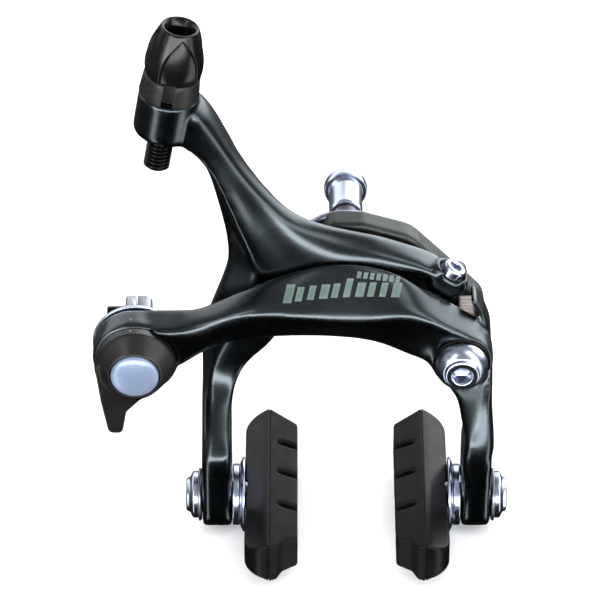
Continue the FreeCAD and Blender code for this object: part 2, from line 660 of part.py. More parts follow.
def adjuster_knob():
    """Barrel with four flat facets and a socket for the cable housing."""
    low = ADJ_RING_TOP
    height = ADJ_KNOB_TOP - low
    profile = [
        (THREAD_R, 0), (6.3, 0), (6.6, 0.5), (7.0, 2.0), (7.05, 3.2), (6.75, 5.4), (6.1, 7.8), (5.2, 10.2),
        (4.45, height - 0.6), (4.0, height), (HOUSING_R + 0.8, height), (HOUSING_R, height - 0.4), (HOUSING_R, 2.2),
        (THREAD_R, 2.2),
    ]
    knob = lathe(profile, V(0, 0, 0), V(0, 0, 1))
    for i in range(4):
        facet = Part.makeBox(6, 12, height, V(6.6, -6, 0))
        facet.rotate(V(6.6, 0, 2.5), V(0, 1, 0), -4.0)
        facet.rotate(V(0, 0, 0), V(0, 0, 1), KNOB_FACET_ANGLE + 90.0 * i)
        knob = knob.cut(facet)
    knob = one(knob)
    knob.Placement = FreeCAD.Placement(adjuster_at(low), FreeCAD.Rotation(V(0, 0, 1), ADJ_DIR))
    return knob


# ---- brake pads and their hardware, drawn on the right and mirrored for the left ----

def brake_block():
    """Rubber block from the friction face out to the ridge, with water grooves."""
    plan = [
        (PAD_FACE, PAD_Y - 21.2, 1.0),
        (PAD_FACE, PAD_Y + 21.6, 1.2),
        (PAD_RIDGE, PAD_Y + PAD_HALF, 0.3),
        (PAD_RIDGE, PAD_Y - PAD_HALF, 0.3),
        (16.1, PAD_Y - PAD_HALF + 0.2, 0.8),
        (14.7, PAD_Y - 22.9, 1.5),
    ]
    low = PAD_Z + PAD_BOTTOM
    high = PAD_Z + PAD_TOP
    block = prism_z(plan, low - 1, high + 1)
    section = [(PAD_FACE - 1, low + 0.9), (PAD_RIDGE, low), (PAD_RIDGE, high), (PAD_FACE - 1, high - 1.6)]
    points = [V(x, PAD_Y - 30, z) for x, z in section]
    block = block.common(Part.Face(Part.makePolygon(points + [points[0]])).extrude(V(0, 60, 0)))
    for offset in GROOVES:
        centre = V(PAD_FACE + GROOVE_DEPTH - GROOVE_W / 2, PAD_Y + offset + 1.2, low - 2)
        end = rod(GROOVE_W / 2, centre, centre + V(0, 0, 20))
        channel = Part.makeBox(8, GROOVE_W, 20, V(-8, -GROOVE_W / 2, 0))
        channel.rotate(V(0, 0, 0), V(0, 0, 1), 14)
        channel.translate(centre)
        block = block.cut(end.fuse(channel))
    return one(block)


def pad_holder():
    """Moulded back of the pad, with the bolt through it."""
    plan = [
        (PAD_RIDGE, PAD_Y - PAD_HALF, 0.3),
        (PAD_RIDGE, PAD_Y + PAD_HALF, 0.3),
        (PAD_BACK, PAD_Y + PAD_HALF - 1.3, 5.2),
        (PAD_BACK, PAD_Y - PAD_HALF + 1.3, 5.2),
    ]
    low = PAD_Z + PAD_BOTTOM
    high = PAD_Z + PAD_TOP
    back = prism_z(plan, low - 1, high + 1)
    section = [(PAD_RIDGE, low), (PAD_BACK, low + 1.4), (PAD_BACK, high - 2.6), (PAD_RIDGE + 1.5, high - 0.45), (PAD_RIDGE, high)]
    points = [V(x, PAD_Y - 30, z) for x, z in section]
    back = back.common(Part.Face(Part.makePolygon(points + [points[0]])).extrude(V(0, 60, 0)))
    return one(back.cut(along_x(STUD_R, 19.4, 40.0)))


def along_x(radius, x0, x1):
    return rod(radius, V(x0, PAD_Y, PAD_Z), V(x1, PAD_Y, PAD_Z))


def pad_stud():
    return along_x(STUD_R, 19.4, 36.6)


def dished_washer():
    profile = [(STUD_R, 0), (8.7, 0), (8.7, 0.5), (7.2, 1.2), (STUD_R, 1.2)]
    return lathe(profile, V(PAD_BACK, PAD_Y, PAD_Z), V(1, 0, 0))


def spacer_washer():
    bore = STUD_R + RUNNING_FIT
    profile = [(bore, 0.03), (6.9, 0.03), (7.1, 0.25), (7.1, 1.45), (6.9, 1.65), (bore, 1.65)]
    return lathe(profile, V(PAD_BACK + 1.2, PAD_Y, PAD_Z), V(1, 0, 0))


def outer_washer():
    bore = STUD_R + RUNNING_FIT
    profile = [(bore, 0), (6.15, 0), (6.15, 0.9), (bore, 0.9)]
    return lathe(profile, V(LEG_OUT + 0.05, PAD_Y, PAD_Z), V(1, 0, 0))


def pad_nut():
    """Flanged nut closed at the end, with a hex socket for the key."""
    bore = STUD_R + RUNNING_FIT
    profile = [(bore, 0), (5.45, 0), (5.45, 1.2), (5.0, 1.6), (4.2, 1.9), (3.7, 2.8), (3.5, 2.9), (bore, 2.9)]
    return lathe(profile, V(LEG_OUT + 0.95, PAD_Y, PAD_Z), V(1, 0, 0))


def save_pads():
    pieces = {
        "brake_block": brake_block(),
        "pad_holder": pad_holder(),
        "pad_stud": one(pad_stud().cut(hexagon(4.0, 3.0, V(34.4, PAD_Y, PAD_Z), V(1, 0, 0)))),
        "dished_washer": dished_washer(),
        "spacer_washer": spacer_washer(),
        "outer_washer": outer_washer(),
        "pad_nut": pad_nut(),
    }
    for name, solid in pieces.items():
        save("right_" + name, solid)
        save("left_" + name, mirror_x(solid))


def main():
    save("bracket", bracket())
    save("mounting_bolt", mounting_bolt())
    save("seating_washer", seating_washer())
    save("rear_thrust_washer", tube_y(PIVOT_R, 8.2, -9.0, -9.55))
    save("front_thrust_washer", tube_y(PIVOT_R, 6.3, -14.55, -15.1))
    save("pivot_nut", pivot_nut())
    save("side_pivot_bolt", side_pivot_bolt())
    save("side_thrust_washer", tube_y(PIVOT_R, 6.4, -9.0, -9.55, SIDE_X, SIDE_Z))
    save("side_head_washer", tube_y(PIVOT_R, 6.5, -26.05, -26.55, SIDE_X, SIDE_Z))
    save("return_spring", return_spring())
    save("recessed_nut", recessed_nut())
    save("y_arm", rear_arm())
    save("left_pivot_bush", tube_y(PIVOT_R + RUNNING_FIT, BUSH_R, Y_ARM_REAR_Y, -14.5))
    save("centring_screw", centring_screw())
    save("c_arm", front_arm())
    save("right_pivot_bush", tube_y(PIVOT_R + RUNNING_FIT, BUSH_R, Y_ARM_REAR_Y, HUB_FRONT_Y, SIDE_X, SIDE_Z))
    save("spring_shoe", spring_shoe())
    save("cam_bush", tube_y(QR_SHAFT_R + RUNNING_FIT, 4.2, -18.4, QR_BOSS_FRONT_Y, QR_X, QR_Z))
    save("cam_plate", tube_y(4.2, 10.0, -17.6, -18.4, QR_X, QR_Z))
    save("quick_release_lever", quick_release_lever())
    save("quick_release_shaft", quick_release_shaft())
    save("quick_release_cap", quick_release_cap())
    save("anchor_block", anchor_block())
    save("clamp_plate", clamp_plate())
    save("clamp_bolt", clamp_bolt())
    save("adjuster_collar", adjuster_collar())
    save("adjuster_stem", adjuster_stem())
    save("adjuster_knob", adjuster_knob())
    save_pads()


if __name__ == "__main__":
    main()
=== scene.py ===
import json
import math

import bmesh
import bpy
import numpy as np
from mathutils import Matrix, Vector
from mathutils.bvhtree import BVHTree


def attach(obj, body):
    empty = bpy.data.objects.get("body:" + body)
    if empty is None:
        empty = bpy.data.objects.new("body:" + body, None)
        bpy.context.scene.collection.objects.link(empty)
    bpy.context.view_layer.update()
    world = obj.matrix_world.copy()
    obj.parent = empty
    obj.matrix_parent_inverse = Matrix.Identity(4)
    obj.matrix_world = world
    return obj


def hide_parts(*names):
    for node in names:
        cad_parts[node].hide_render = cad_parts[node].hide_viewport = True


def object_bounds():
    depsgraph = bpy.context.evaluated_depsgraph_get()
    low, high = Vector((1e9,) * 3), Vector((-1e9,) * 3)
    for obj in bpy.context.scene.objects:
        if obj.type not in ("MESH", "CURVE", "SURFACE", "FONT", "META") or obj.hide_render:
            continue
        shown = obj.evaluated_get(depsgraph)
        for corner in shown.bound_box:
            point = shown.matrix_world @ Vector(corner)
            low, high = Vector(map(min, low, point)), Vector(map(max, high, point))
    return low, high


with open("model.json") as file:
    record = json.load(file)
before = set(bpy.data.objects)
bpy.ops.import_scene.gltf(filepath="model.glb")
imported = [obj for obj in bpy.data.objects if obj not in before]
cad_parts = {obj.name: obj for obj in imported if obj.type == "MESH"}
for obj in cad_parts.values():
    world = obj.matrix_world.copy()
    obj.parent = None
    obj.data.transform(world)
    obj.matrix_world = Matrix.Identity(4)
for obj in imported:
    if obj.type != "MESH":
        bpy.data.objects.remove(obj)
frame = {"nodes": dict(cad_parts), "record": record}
cad_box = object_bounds()

MM = 0.001
TAU = 2 * math.pi
SEGMENTS = 96
THREAD_SEGMENTS = 72
KNOB_SEGMENTS = 288
BEVEL_ANGLE = 32

# ---- driving positions, in millimetres, the same as in the CAD source ----
SIDE_X, SIDE_Z = 25.9, -11.2
PAD_Y, PAD_Z = -26.2, -49.0
PAD_BACK = 23.4
LEG_OUT = 33.2
PAD_TRAVEL = 10
SLOT_MARGIN = 3.6
SPOT_MARGIN = 6.9
QR_X, QR_Z = -48.0, -11.2
QR_CAP_Y = -30.4
ADJ_TILT = math.radians(9.33)
ADJ_DIR = Vector((math.sin(ADJ_TILT), 0, math.cos(ADJ_TILT)))
ADJ_BASE = Vector((-42.8, -12.0, 33.3))
ADJ_RING_TOP = 24.9
ADJ_KNOB_TOP = 37.0
SCREW_TOP = Vector((24.7, -15.0, 7.8))
SCREW_DIR = Vector((-0.557, 0, -0.8305))
SCREW_LENGTH = 11.5
NUT_FRONT_Y = 16.6
SPRING_R = 12.5
SPRING_WIRE_R = 1.28
PAD_RIDGE = 17.8
VIEW_TILT = 35.8

REAR = Vector((0, 1, 0))
FRONT = Vector((0, -1, 0))


# ---- materials ----

class Finish:
    """A principled material with its own noise, grain, edge wear and bump."""

    def __init__(self, name, colour, metallic, roughness, **sockets):
        self.material = bpy.data.materials.new(name)
        self.material.use_nodes = True
        self.tree = self.material.node_tree
        self.shader = self.tree.nodes["Principled BSDF"]
        self.shader.inputs["Base Color"].default_value = (*colour, 1)
        self.shader.inputs["Metallic"].default_value = metallic
        self.shader.inputs["Roughness"].default_value = roughness
        for socket, value in sockets.items():
            self.shader.inputs[socket.replace("_", " ")].default_value = value
        self.colour = colour
        self.roughness = roughness
        self.place = self.tree.nodes.new("ShaderNodeTexCoord").outputs["Object"]

    def node(self, kind, **values):
        made = self.tree.nodes.new(kind)
        for key, value in values.items():
            if key in made.inputs:
                made.inputs[key].default_value = value
            else:
                setattr(made, key, value)
        return made

    def link(self, source, target):
        self.tree.links.new(source, target)

    def noise(self, per_mm, detail=3.0, stretch=(1, 1, 1)):
        """Noise with so many features to a millimetre, drawn out along some axes."""
        mapping = self.node("ShaderNodeMapping")
        mapping.inputs["Scale"].default_value = Vector(stretch) * (per_mm / MM)
        self.link(self.place, mapping.inputs["Vector"])
        made = self.node("ShaderNodeTexNoise", Scale=1.0, Detail=detail, Roughness=0.55)
        self.link(mapping.outputs["Vector"], made.inputs["Vector"])
        return made.outputs["Fac"]

    def spread(self, source, low, high, start=0.3, stop=0.7):
        made = self.node("ShaderNodeMapRange")
        made.inputs["From Min"].default_value = start
        made.inputs["From Max"].default_value = stop
        made.inputs["To Min"].default_value = low
        made.inputs["To Max"].default_value = high
        self.link(source, made.inputs["Value"])
        return made.outputs["Result"]

    def mottle(self, per_mm, other, low=0.3, high=0.7):
        """Colour drifting towards another one."""
        made = self.node("ShaderNodeMix", data_type="RGBA")
        made.inputs["A"].default_value = (*self.colour, 1)
        made.inputs["B"].default_value = (*other, 1)
        self.link(self.spread(self.noise(per_mm), 0.0, 1.0, low, high), made.inputs["Factor"])
        self.surface = made.outputs["Result"]
        self.link(self.surface, self.shader.inputs["Base Color"])
        return self

    def wear(self, colour, start=0.53, stop=0.62, amount=1.0):
        """Exposed edges, from how convex the surface is."""
        point = self.node("ShaderNodeNewGeometry").outputs["Pointiness"]
        made = self.node("ShaderNodeMix", data_type="RGBA")
        made.inputs["B"].default_value = (*colour, 1)
        self.link(self.surface, made.inputs["A"])
        self.link(self.spread(point, 0.0, amount, start, stop), made.inputs["Factor"])
        self.surface = made.outputs["Result"]
        self.link(self.surface, self.shader.inputs["Base Color"])
        return self

    def polish(self, per_mm, swing, stretch=(1, 1, 1)):
        """Roughness that varies over the surface."""
        source = self.noise(per_mm, 4.0, stretch)
        result = self.spread(source, self.roughness - swing, self.roughness + swing)
        self.link(result, self.shader.inputs["Roughness"])
        return self

    def grain(self, per_mm, depth_um, detail=2.0, stretch=(1, 1, 1)):
        """Fine relief, so many micrometres deep."""
        bump = self.node("ShaderNodeBump", Strength=1.0, Distance=depth_um * 1e-6)
        self.link(self.noise(per_mm, detail, stretch), bump.inputs["Height"])
        self.link(bump.outputs["Normal"], self.shader.inputs["Normal"])
        return self


def make_finishes():
    """Every finish: base colour, metallic, roughness, then drift, edge wear, polish and grain."""
    made = {}

    def add(slot, *values, **sockets):
        made[slot] = Finish(slot, *values, **sockets)
        return made[slot]

    dark = dict(Coat_Weight=0.2, Coat_Roughness=0.12)
    add("anodised_dark", (0.038, 0.044, 0.047), 1.0, 0.27, **dark).mottle(
        0.05, (0.031, 0.038, 0.042)).wear((0.06, 0.068, 0.072), 0.57, 0.70).polish(0.15, 0.03).grain(6.0, 0.8)
    add("bracket_dark", (0.018, 0.020, 0.019), 0.8, 0.46, Coat_Weight=0.1, Coat_Roughness=0.4).mottle(
        0.08, (0.025, 0.027, 0.026)).wear((0.05, 0.05, 0.05)).polish(0.3, 0.04).grain(4.0, 2.0)
    add("bright_steel", (0.43, 0.46, 0.55), 1.0, 0.24).mottle(
        0.3, (0.38, 0.41, 0.52)).wear((0.45, 0.46, 0.5)).polish(0.8, 0.03).grain(3.0, 0.4)
    add("steel", (0.22, 0.225, 0.25), 1.0, 0.38).mottle(
        0.4, (0.19, 0.19, 0.21)).wear((0.35, 0.35, 0.38)).polish(0.8, 0.06).grain(5.0, 0.8)
    add("spring_steel", (0.26, 0.24, 0.32), 1.0, 0.25).mottle(
        0.5, (0.20, 0.19, 0.26)).wear((0.45, 0.43, 0.5)).polish(0.6, 0.05).grain(3.0, 0.8)
    add("bronze", (0.42, 0.30, 0.16), 1.0, 0.38).mottle(
        0.5, (0.36, 0.25, 0.13)).wear((0.6, 0.45, 0.25)).polish(0.8, 0.06).grain(4.0, 1.5)
    add("lever_black", (0.0045, 0.0040, 0.0036), 0.0, 0.34, Specular_IOR_Level=0.30).mottle(
        0.08, (0.006, 0.0054, 0.005)).wear((0.012, 0.011, 0.010)).polish(0.25, 0.05).grain(3.0, 3.0)
    add("dark_plastic", (0.0012, 0.0012, 0.0013), 0.0, 0.20, Specular_IOR_Level=0.22).mottle(
        0.1, (0.0035, 0.0035, 0.0038)).wear((0.010, 0.010, 0.011)).polish(0.3, 0.04).grain(4.0, 0.6)
    add("pale_plastic", (0.50, 0.42, 0.41), 0.0, 0.35).mottle(
        0.2, (0.42, 0.35, 0.34)).wear((0.65, 0.60, 0.59)).polish(0.4, 0.05).grain(3.0, 2.0)
    add("washer_plastic", (0.02, 0.019, 0.021), 0.0, 0.4, Specular_IOR_Level=0.4).mottle(
        0.3, (0.03, 0.029, 0.03)).wear((0.06, 0.06, 0.06)).polish(0.5, 0.06).grain(3.0, 3.0)
    add("pad_rubber", (0.0030, 0.0030, 0.0033), 0.0, 0.58, Specular_IOR_Level=0.09).mottle(
        0.2, (0.0040, 0.0038, 0.0040)).wear((0.008, 0.008, 0.008)).polish(0.5, 0.06).grain(2.5, 8.0, 4.0)
    add("pad_back", (0.0015, 0.0015, 0.0017), 0.0, 0.38, Specular_IOR_Level=0.10).mottle(
        0.2, (0.0025, 0.0025, 0.0027)).wear((0.006, 0.006, 0.006)).polish(0.4, 0.05).grain(3.0, 4.0)
    add("black_steel", (0.010, 0.009, 0.0085), 1.0, 0.32).mottle(
        0.3, (0.016, 0.014, 0.013)).wear((0.06, 0.052, 0.048)).polish(0.6, 0.06).grain(4.0, 1.0)
    add("collar_grey", (0.006, 0.0056, 0.0056), 0.1, 0.42, Specular_IOR_Level=0.25).mottle(
        2.0, (0.018, 0.0165, 0.0165), 0.45, 0.75).wear((0.05, 0.048, 0.048)).polish(0.6, 0.06).grain(5.0, 6.0)
    add("marking", (0.055, 0.085, 0.078), 0.2, 0.42).mottle(
        0.1, (0.075, 0.11, 0.10)).wear((0.1, 0.13, 0.12)).polish(0.4, 0.05).grain(4.0, 1.0)
    add("cap_blue", (0.15, 0.195, 0.29), 0.3, 0.34, Coat_Weight=0.2, Coat_Roughness=0.2).mottle(
        0.15, (0.18, 0.225, 0.32)).wear((0.3, 0.36, 0.46), 0.55, 0.65).polish(0.4, 0.04).grain(5.0, 0.8)
    return {slot: finish.material for slot, finish in made.items()}


finishes = make_finishes()


# ---- mesh helpers ----

def add_object(name, mesh, slot, body, finish=None, replaces=()):
    """New piece that rides on a body; its finish is the slot's own unless another is named."""
    piece = bpy.data.objects.new(name, mesh)
    bpy.context.scene.collection.objects.link(piece)
    mesh.materials.clear()
    mesh.materials.append(finishes[finish or slot])
    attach(piece, body)
    if replaces:
        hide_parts(*replaces)


def grid_mesh(name, rings, wrap, sharp=None):
    """Quads between rings of points in millimetres; wrap joins the last ring to the first."""
    points = np.array(rings, float) * MM
    count, around = points.shape[:2]
    faces = []
    for i in range(count if wrap else count - 1):
        nxt = (i + 1) % count
        for j in range(around):
            k = (j + 1) % around
            faces.append((i * around + j, i * around + k, nxt * around + k, nxt * around + j))
    mesh = bpy.data.meshes.new(name)
    mesh.from_pydata([tuple(p) for p in points.reshape(-1, 3)], [], faces)
    bm = bmesh.new()
    bm.from_mesh(mesh)
    bmesh.ops.remove_doubles(bm, verts=bm.verts, dist=1e-8)
    if not wrap:
        edges = [e for e in bm.edges if e.is_boundary]
        bmesh.ops.holes_fill(bm, edges=edges, sides=0)
    bmesh.ops.recalc_face_normals(bm, faces=bm.faces)
    for face in bm.faces:
        face.smooth = True
    bm.to_mesh(mesh)
    bm.free()
    if sharp:
        mesh.set_sharp_from_angle(angle=math.radians(sharp))
    return mesh


def rounded(profile, closed, steps=5):
    """Profile of (radius, height, rounding, facets) with its corners rounded off."""
    full = [tuple(p) + (0,) * (4 - len(p)) for p in profile]
    last = len(full) - 1
    out = []
    for i, (r, h, radius, facets) in enumerate(full):
        if radius == 0 or (not closed and i in (0, last)):
            out.append((r, h, facets))
            continue
        here = np.array((r, h))
        to_before = np.array(full[i - 1][:2]) - here
        to_after = np.array(full[(i + 1) % len(full)][:2]) - here
        reach = min(radius, 0.48 * np.linalg.norm(to_before), 0.48 * np.linalg.norm(to_after))
        start = here + to_before / np.linalg.norm(to_before) * reach
        end = here + to_after / np.linalg.norm(to_after) * reach
        for t in np.linspace(0, 1, steps):
            point = start * (1 - t) ** 2 + here * 2 * t * (1 - t) + end * t * t
            out.append((point[0], point[1], facets))
    return out


def circle(radius, height, around):
    """Ring of points round the part's own axis."""
    theta = np.arange(around) * TAU / around
    return np.stack([radius * np.cos(theta), radius * np.sin(theta), np.full(around, float(height))], 1)


def placed(base, direction):
    """Matrix from a part's own axis (Z) to where it stands, in millimetres."""
    turn = Vector((0, 0, 1)).rotation_difference(Vector(direction)).to_matrix().to_4x4()
    return Matrix.Translation(Vector(base)) @ turn


def moved(matrix, rings):
    """Rings of points after a matrix."""
    m = np.array(matrix)
    return np.array(rings, float) @ m[:3, :3].T + m[:3, 3]


def turned(name, profile, base, direction, closed=True, sharp=None, around=SEGMENTS):
    """Turned part; a ring with facets follows a polygon whose flats are at its radius."""
    theta = np.arange(around) * TAU / around
    rings = []
    for r, h, facets in rounded(profile, closed):
        if facets:
            pitch = TAU / facets
            off = (theta % pitch) - pitch / 2
            radius = np.minimum(r / np.cos(off), r / math.cos(pitch / 2) * 0.985)
        else:
            radius = r
        rings.append(circle(radius, h, around))
    return grid_mesh(name, moved(placed(base, direction), rings), closed, sharp)


def welded(node):
    """Copy of the node's mesh with its shared corners joined."""
    mesh = frame["nodes"][node].data.copy()
    bm = bmesh.new()
    bm.from_mesh(mesh)
    bmesh.ops.remove_doubles(bm, verts=bm.verts, dist=1e-6)
    bm.to_mesh(mesh)
    bm.free()
    return mesh


def relax(mesh, rounds, weight):
    """Rounds off the mesh; weight says how much, from the places of the corners in millimetres."""
    count = len(mesh.vertices)
    places = np.empty(count * 3)
    mesh.vertices.foreach_get("co", places)
    places = places.reshape(-1, 3)
    ends = np.empty(len(mesh.edges) * 2, int)
    mesh.edges.foreach_get("vertices", ends)
    first, second = ends.reshape(-1, 2).T
    degree = np.bincount(ends, minlength=count)[:, None]
    share = 0.5 * np.clip(weight(*(places / MM).T), 0, 1)[:, None]
    for _ in range(rounds):
        total = np.empty_like(places)
        for axis in range(3):
            total[:, axis] = np.bincount(first, places[second, axis], count)
            total[:, axis] += np.bincount(second, places[first, axis], count)
        places += share * (total / degree - places)
    mesh.vertices.foreach_set("co", places.ravel())
    mesh.update()


def ramp_up(value, start, stop):
    """Nought before start, one after stop, smooth between."""
    t = np.clip((value - start) / (stop - start), 0, 1)
    return t * t * (3 - 2 * t)


def everywhere(x, y, z):
    return np.ones_like(x)


def reshaped(node, name, kind, **settings):
    """The node's shape after one modifier, as a new mesh."""
    draft = bpy.data.objects.new(name + "_draft", welded(node))
    bpy.context.scene.collection.objects.link(draft)
    for polygon in draft.data.polygons:
        polygon.use_smooth = True
    modifier = draft.modifiers.new(kind, kind)
    for setting, value in settings.items():
        setattr(modifier, setting, value)
    graph = bpy.context.evaluated_depsgraph_get()
    mesh = bpy.data.meshes.new_from_object(draft.evaluated_get(graph))
    bpy.data.objects.remove(draft)
    mesh.name = name
    return mesh


def softened(node, name, voxel, rounds, weight=everywhere):
    """The node's shape in even small faces with its edges rounded off."""
    mesh = reshaped(node, name, "REMESH", mode="VOXEL", voxel_size=voxel * MM)
    relax(mesh, rounds, weight)
    for polygon in mesh.polygons:
        polygon.use_smooth = True
    return mesh


def bevelled(node, name, width):
    """The node's shape with narrow rounded edges."""
    return reshaped(node, name, "BEVEL", width=width * MM, segments=3, limit_method="ANGLE",
                    angle_limit=math.radians(BEVEL_ANGLE), harden_normals=True)


def thread(start, stop, radius):
    """Rings of a right-handed screw thread with a pitch of one millimetre."""
    theta = np.arange(THREAD_SEGMENTS) * TAU / THREAD_SEGMENTS
    rings = []
    for h in np.linspace(start, stop, int((stop - start) * 12) + 1):
        tooth = np.abs((h - theta / TAU) % 1.0 - 0.5) * 2
        depth = 0.55 * np.clip((tooth - 0.12) / 0.72, 0, 1) * min(1.0, 2 * (h - start), 2 * (stop - h))
        rings.append(circle(radius - depth, h, THREAD_SEGMENTS))
    return rings


def plain_rings(*places):
    """Rings at (radius, height) that continue a thread."""
    return [circle(radius, height, THREAD_SEGMENTS) for radius, height in places]


def sweep(name, path, radius, around=28):
    """Round wire along a path in millimetres."""
    points = np.array(path, float)
    along = np.gradient(points, axis=0)
    along /= np.linalg.norm(along, axis=1)[:, None]
    side = np.cross(along[0], (0.3, 0.2, 0.9))
    theta = np.arange(around) * TAU / around
    rings = []
    for place, ahead in zip(points, along):
        side = side - ahead * np.dot(side, ahead)
        side /= np.linalg.norm(side)
        other = np.cross(ahead, side)
        rings.append(place + radius * (np.cos(theta)[:, None] * side + np.sin(theta)[:, None] * other))
    return grid_mesh(name, rings, False, 50)


# ---- arms ----

LEAST_ROUNDING = 0.22


def off_slot(x, y, z, spot_radius):
    """Nought at the pad slot and at the seat of the washer at its upper end."""
    along = np.clip(z, PAD_Z, PAD_Z + PAD_TRAVEL)
    slot = np.hypot(y - PAD_Y, z - along) - SLOT_MARGIN
    spot = np.hypot(y - PAD_Y, z - PAD_Z - PAD_TRAVEL) - spot_radius * (x > LEG_OUT - 1.5)
    return ramp_up(np.minimum(slot, spot), 0, 1.5)


def front_weight(x, y, z):
    """The bow between the two ends is rounded most."""
    bow = ramp_up(x, -38.5, -33) * (1 - ramp_up(x, 15, 23))
    leg = ramp_up(x, 26, 29) * (1 - ramp_up(z, -22, -18)) * ramp_up(z, -40, -34)
    return (LEAST_ROUNDING + (1 - LEAST_ROUNDING) * np.maximum(bow, leg)) * off_slot(x, y, z, SPOT_MARGIN)


def rear_weight(x, y, z):
    """The branch up to the adjuster and the nose are rounded most."""
    branch = ramp_up(z, 4, 12) * (1 - ramp_up(z, 34, 40))
    nose = ramp_up(x, 6, 12) * (1 - ramp_up(x, 15, 20)) * ramp_up(z, -2, 2)
    leg = 0.5 * (1 - ramp_up(z, -16, -10)) * ramp_up(z, -40, -34)
    most = np.maximum(np.maximum(branch, nose), leg)
    return (LEAST_ROUNDING + (1 - LEAST_ROUNDING) * most) * off_slot(x, y, z, 0)


def arms():
    """Both arms and the bracket behind them, with the round edges of a forging."""
    for node, name, slot, body, voxel, rounds, weight in (
            ("c_arm", "front_arm", "anodised_dark", "right_arm", 0.35, 130, front_weight),
            ("y_arm", "rear_arm", "anodised_dark", "left_arm", 0.35, 60, rear_weight),
            ("bracket", "rear_bracket", "bracket_dark", "mount", 0.3, 8, everywhere)):
        add_object(name, softened(node, name, voxel, rounds, weight), slot, body, replaces=[node])


# ---- cable adjuster ----

def adj(height):
    """Place on the adjuster's axis."""
    return ADJ_BASE + ADJ_DIR * height


def knob():
    """Barrel with four arched facets and a socket for the cable housing."""
    height = ADJ_KNOB_TOP - ADJ_RING_TOP
    heights = [0.0, 1.2, 2.6, 4.5, 7.0, 9.2, 10.8, 11.7]
    barrel = np.polyfit(heights, [6.5, 6.85, 6.95, 6.8, 6.2, 5.4, 4.75, 4.4], 4)
    theta = np.arange(KNOB_SEGMENTS) * TAU / KNOB_SEGMENTS
    facing = math.radians(-79.7)
    off = (theta - facing + math.pi / 4) % (math.pi / 2) - math.pi / 4
    rings = []
    for h in np.concatenate([np.linspace(0, 0.6, 8), np.linspace(0.7, 11.7, 130)]):
        full = np.polyval(barrel, h) - 0.35 * max(0.0, 1 - h / 0.45) ** 2
        half = math.radians(38) * (1 - min(1.0, h / 11.2) ** 4.0)
        inside = np.clip((half - np.abs(off)) * full / 0.5, 0, 1)
        step = inside * inside * (3 - 2 * inside)
        flat = 0.22 * (1 - np.clip(np.abs(off) / max(half, 1e-6), 0, 1) ** 2)
        rings.append(circle(full - step * (0.24 + flat), h, KNOB_SEGMENTS))
    lip = rounded([
        (4.4, 11.7, 0), (4.15, height, 0.5), (3.75, height, 0.3), (3.3, 11.6, 0.4), (2.65, 10.4, 0.4),
        (2.62, 2.3, 0.1), (2.98, 2.2, 0.1), (2.98, 0.0, 0.1), (6.1, 0.0, 0)], False)
    rings.extend(circle(r, h, KNOB_SEGMENTS) for r, h, _ in lip[1:-1])
    mesh = grid_mesh("knob", moved(placed(adj(ADJ_RING_TOP), ADJ_DIR), rings), True, 50)
    add_object("knob", mesh, "dark_plastic", "adjuster", replaces=["adjuster_knob"])


def stem():
    """Threaded stem with the bore for the cable."""
    length = 27.0
    rings = plain_rings((1.35, 0.0), (2.4, 0.0), (2.75, 0.3))
    rings += thread(0.5, length, 2.98)
    rings += plain_rings((1.3, length), (1.1, length - 0.3), (1.1, 0.3))
    mesh = grid_mesh("stem", moved(placed(ADJ_BASE, ADJ_DIR), rings), True, 40)
    add_object("stem", mesh, "black_steel", "adjuster", replaces=["adjuster_stem"])


def collar():
    """Index ring under the knob."""
    add_object("collar", bevelled("adjuster_collar", "collar", 0.3), "dark_plastic", "adjuster_collar",
               "collar_grey", ["adjuster_collar"])


# ---- bolts, nuts, washers and bushes ----

def rings_and_bushes():
    """Plain turned rings: inner and outer radius, first and last Y, X, Z."""
    flat = 0.12
    table = [
        ("rear_thrust_washer", "mount", "washer_plastic", 4.0, 8.2, -9.0, -9.55, 0, 0),
        ("front_thrust_washer", "mount", "washer_plastic", 4.0, 6.3, -14.55, -15.1, 0, 0),
        ("side_thrust_washer", "mount", "washer_plastic", 4.0, 6.4, -9.0, -9.55, SIDE_X, SIDE_Z),
        ("side_head_washer", "mount", "black_steel", 4.0, 6.5, -26.05, -26.55, SIDE_X, SIDE_Z),
        ("left_pivot_bush", "left_arm", "bronze", 4.04, 5.2, -9.6, -14.5, 0, 0),
        ("right_pivot_bush", "right_arm", "bronze", 4.04, 5.2, -9.6, -26.0, SIDE_X, SIDE_Z),
        ("cam_bush", "right_arm", "bronze", 3.24, 4.2, -18.4, -25.2, QR_X, QR_Z),
        ("cam_plate", "right_arm", "bright_steel", 4.2, 10.0, -17.6, -18.4, QR_X, QR_Z),
    ]
    for node, body, slot, inner, outer, first, last, x, z in table:
        deep = first - last
        profile = [(inner, 0, flat), (outer, 0, flat), (outer, deep, flat), (inner, deep, flat)]
        mesh = turned(node + "_ring", profile, (x, first, z), FRONT, True, 35)
        add_object(node + "_ring", mesh, slot, body, None, [node])


def main_bolt():
    """Bolt to the frame: its front is the axle of the rear arm, its back carries the long nut."""
    rings = plain_rings(
        (0.0, -17.6), (2.6, -17.6), (2.88, -17.3), (2.88, -15.1), (3.85, -15.1), (4.0, -14.9), (4.0, -3.05),
        (3.95, -3.0), (3.4, -3.0), (3.4, -0.05), (3.35, 0.0), (2.99, 0.0), (2.99, 0.6))
    rings += thread(0.7, 16.4, 2.99)
    rings += plain_rings((2.68, 16.5), (2.68, 22.4), (2.2, 22.95), (0.0, 22.95))
    mesh = grid_mesh("journal_bolt", moved(placed((0, 0, 0), REAR), rings), False, 35)
    add_object("journal_bolt", mesh, "steel", "mount", None, ["mounting_bolt"])


